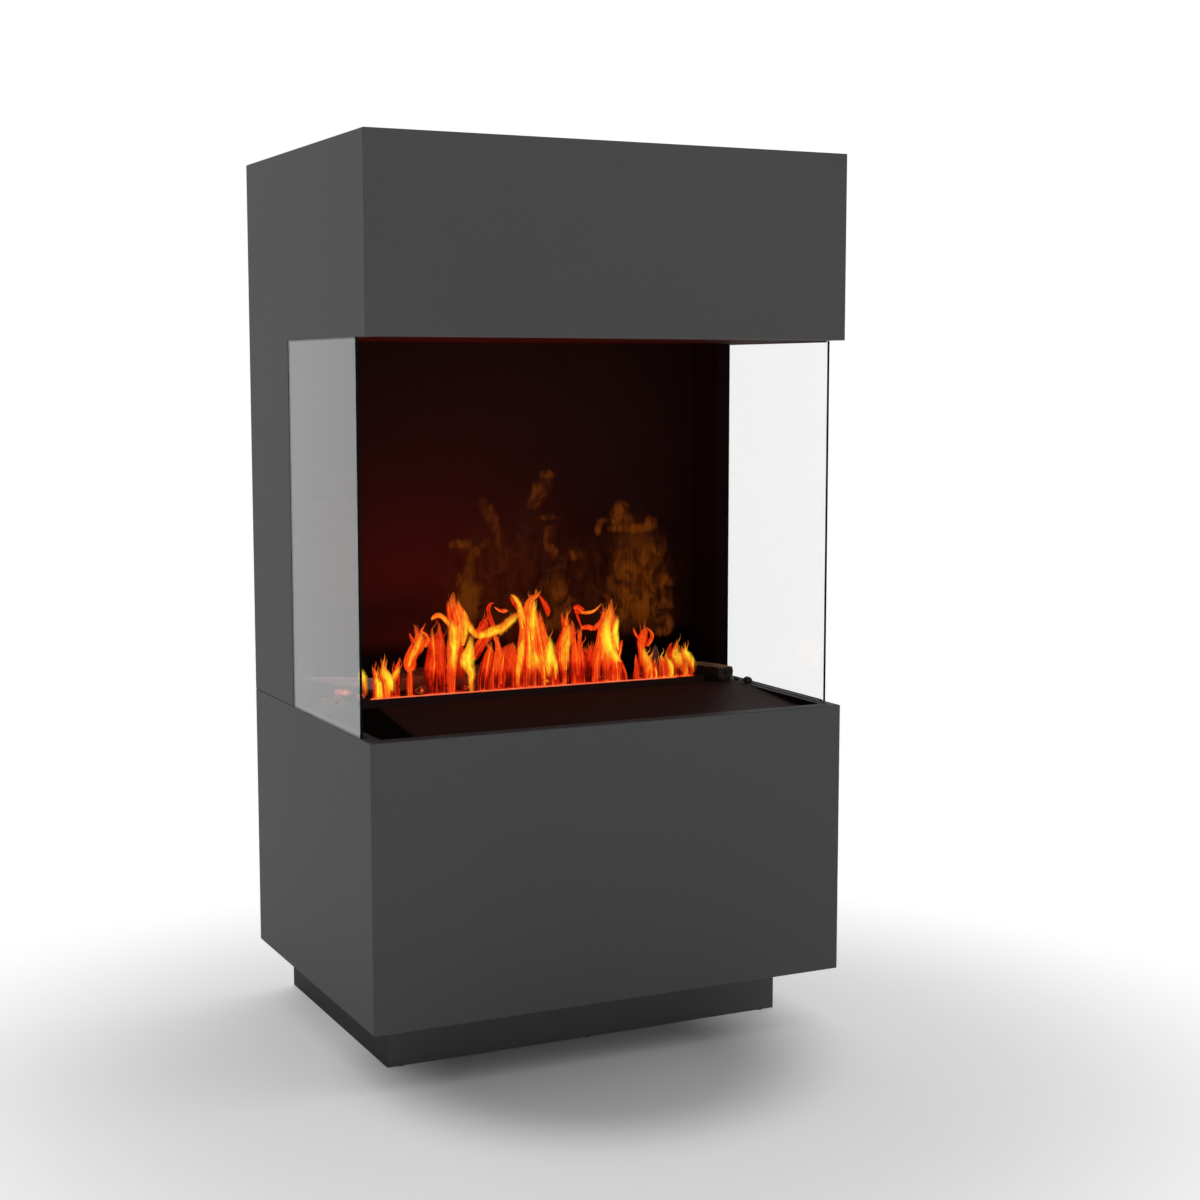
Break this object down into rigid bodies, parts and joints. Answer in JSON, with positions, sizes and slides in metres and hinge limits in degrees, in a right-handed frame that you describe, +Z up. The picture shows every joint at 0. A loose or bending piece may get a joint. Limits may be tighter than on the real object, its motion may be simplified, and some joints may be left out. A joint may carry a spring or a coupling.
{
  "type": "water vapour fireplace",
  "caption": "Free-standing fireplace: box on a recessed plinth, open firebox with two side glasses under a hood, vapour burner slot, hinged deck lid over the water tank.",
  "frame": {"origin": "centre of the cabinet's footprint, on the floor", "axes": "+Z up, the open front faces -Y, +X is the right side seen from the front"},
  "size_m": [0.8, 0.58, 1.4],
  "materials": {
    "cabinet_lacquer": "fine matte anthracite lacquer",
    "plinth_lacquer": "fine matte anthracite lacquer",
    "back_board": "plain dark board",
    "raw_board": "bare fibre board",
    "pine": "planed pine",
    "glide_rubber": "black moulded",
    "zinc_steel": "zinc plated",
    "black_sheet": "satin black",
    "deck_black": "satin black, slightly glossy",
    "firebox_black": "matte black, heat proof",
    "soffit_black": "matte black",
    "basin_plastic": "moulded",
    "transducer_ceramic": "glazed disc in a potted body",
    "lamp_aluminium": "drawn",
    "lamp_lens": "lit, frosted",
    "black_plastic": "fine texture",
    "float_plastic": "foamed",
    "pump_plastic": "moulded",
    "pipe_plastic": "clear",
    "tank_plastic": "blow moulded, frosted",
    "cap_plastic": "ribbed",
    "control_plate": "satin",
    "button_red": "moulded",
    "button_grey": "moulded",
    "rocker_plastic": "moulded",
    "filter_foam": "open foam",
    "clear_glass": "clear, polished edges",
    "log_brown": "painted bark and split wood",
    "log_charred": "charred bark",
    "charcoal_black": "charcoal"
  },
  "bodies": {
    "cabinet": {"plinth_boards": "plinth_lacquer", "plinth_glides": "glide_rubber", "base_bottom": "cabinet_lacquer", "base_left": "cabinet_lacquer", "base_right": "cabinet_lacquer", "base_front": "cabinet_lacquer", "base_back": "back_board", "insert_shelf": "raw_board", "battens": "pine", "back_screws": "zinc_steel", "column_dowels": "pine", "wall_plates": "zinc_steel", "deck_ledges": "black_sheet", "firebox_floor": "deck_black", "lid_hinges": "black_sheet", "insert_housing": "zinc_steel", "sump_basin": "basin_plastic", "transducers": "transducer_ceramic", "mist_guides": "black_sheet", "burner_cover": "deck_black", "led_bars": "lamp_aluminium", "led_lenses": "lamp_lens", "fan_frames": "black_plastic", "float_stem": "zinc_steel", "feed_pump": "pump_plastic", "water_pipes": "pipe_plastic", "water_tank": "tank_plastic", "control_box": "black_plastic", "control_lid": "control_plate", "power_supply": "zinc_steel", "mains_inlet": "black_plastic", "filter_sleeve": "black_sheet", "upper_left": "cabinet_lacquer", "upper_right": "cabinet_lacquer", "hood_front": "cabinet_lacquer", "hood_top": "cabinet_lacquer", "soffit": "soffit_black", "column_back": "back_board", "firebox_back": "firebox_black", "niche_linings": "firebox_black", "glass_left": "clear_glass", "glass_right": "clear_glass", "glass_retainers": "black_sheet", "log_left": "log_brown", "log_right": "log_brown", "logs_back": "log_charred", "charcoal": "charcoal_black"},
    "deck_lid": {"deck_lid": "deck_black"},
    "fan_left": {"fan_left_rotor": "black_plastic"},
    "fan_right": {"fan_right_rotor": "black_plastic"},
    "float": {"float_ring": "float_plastic"},
    "tank_cap": {"tank_cap": "cap_plastic"},
    "tank_handle": {"tank_handle": "black_plastic"},
    "button_power": {"button_power": "button_red"},
    "button_flame_up": {"button_flame_up": "button_grey"},
    "button_flame_down": {"button_flame_down": "button_grey"},
    "mains_rocker": {"mains_rocker": "rocker_plastic"},
    "filter": {"filter_tray": "black_plastic", "filter_pad": "filter_foam"}
  },
  "joints": [
    {"name": "deck_lid_hinge", "type": "hinge", "parent": "cabinet", "child": "deck_lid", "pos_m": [0, -0.0104, 0.5225], "axis": [-1, 0, 0], "range_deg": [0, 80]},
    {"name": "fan_left_turn", "type": "hinge", "parent": "cabinet", "child": "fan_left", "pos_m": [-0.3315, 0.02, 0.4315], "axis": [-1, 0, 0], "continuous": true},
    {"name": "fan_right_turn", "type": "hinge", "parent": "cabinet", "child": "fan_right", "pos_m": [0.3315, 0.02, 0.4315], "axis": [1, 0, 0], "continuous": true},
    {"name": "float_rise", "type": "slide", "parent": "cabinet", "child": "float", "axis": [0, 0, 1], "range_m": [0, 0.024]},
    {"name": "tank_cap_turn", "type": "hinge", "parent": "cabinet", "child": "tank_cap", "pos_m": [-0.284, -0.16, 0.4508], "axis": [0, 0, 1], "range_deg": [0, 90]},
    {"name": "tank_handle_fold", "type": "hinge", "parent": "cabinet", "child": "tank_handle", "pos_m": [-0.163, -0.14, 0.4473], "axis": [-1, 0, 0], "range_deg": [0, 90]},
    {"name": "button_power_press", "type": "slide", "parent": "cabinet", "child": "button_power", "axis": [0, 0, -1], "range_m": [0, 0.0015], "stiffness_N_per_m": 400},
    {"name": "button_flame_up_press", "type": "slide", "parent": "cabinet", "child": "button_flame_up", "axis": [0, 0, -1], "range_m": [0, 0.0015], "stiffness_N_per_m": 400},
    {"name": "button_flame_down_press", "type": "slide", "parent": "cabinet", "child": "button_flame_down", "axis": [0, 0, -1], "range_m": [0, 0.0015], "stiffness_N_per_m": 400},
    {"name": "mains_rocker_tilt", "type": "hinge", "parent": "cabinet", "child": "mains_rocker", "pos_m": [0.29, 0.28, 0.227], "axis": [1, 0, 0], "range_deg": [0, 16]},
    {"name": "filter_draw", "type": "slide", "parent": "cabinet", "child": "filter", "axis": [0, 1, 0], "range_m": [0, 0.036]}
  ]
}
